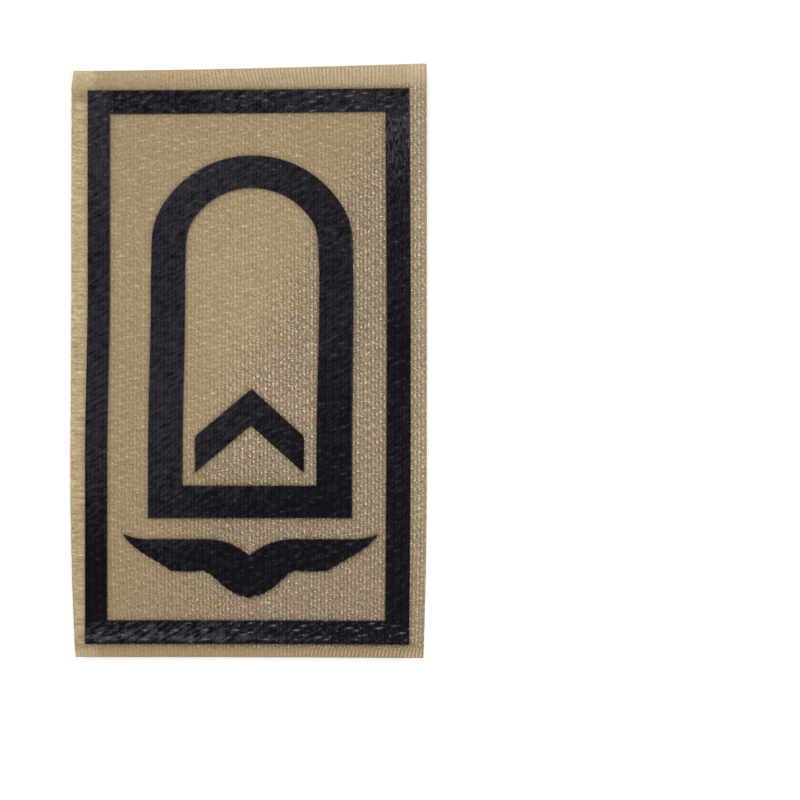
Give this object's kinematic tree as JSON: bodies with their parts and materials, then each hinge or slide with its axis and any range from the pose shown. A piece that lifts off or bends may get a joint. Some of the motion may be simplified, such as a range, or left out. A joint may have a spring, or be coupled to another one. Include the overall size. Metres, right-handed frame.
{
  "type": "woven hook-backed rank patch",
  "caption": "Rectangular woven rank patch with a hook back and pressed black marks: border frame, round-topped arch, chevron and spread wings.",
  "frame": {"origin": "on the resting surface, under the middle of the patch", "axes": "+X across the patch, +Y up the patch towards the arch's crown, +Z out of its face"},
  "size_m": [0.05, 0.083, 0.0035],
  "materials": {
    "woven_cloth": "fine ribbed weave with a slight synthetic sheen",
    "hook_nylon": "monofilament hooks",
    "pressed_film": "soft gloss, with the weave showing through"
  },
  "bodies": {
    "root": {"hook_backing": "hook_nylon", "face_cloth": "woven_cloth", "border_frame": "pressed_film", "arch": "pressed_film", "chevron": "pressed_film", "wings": "pressed_film"}
  },
  "joints": []
}
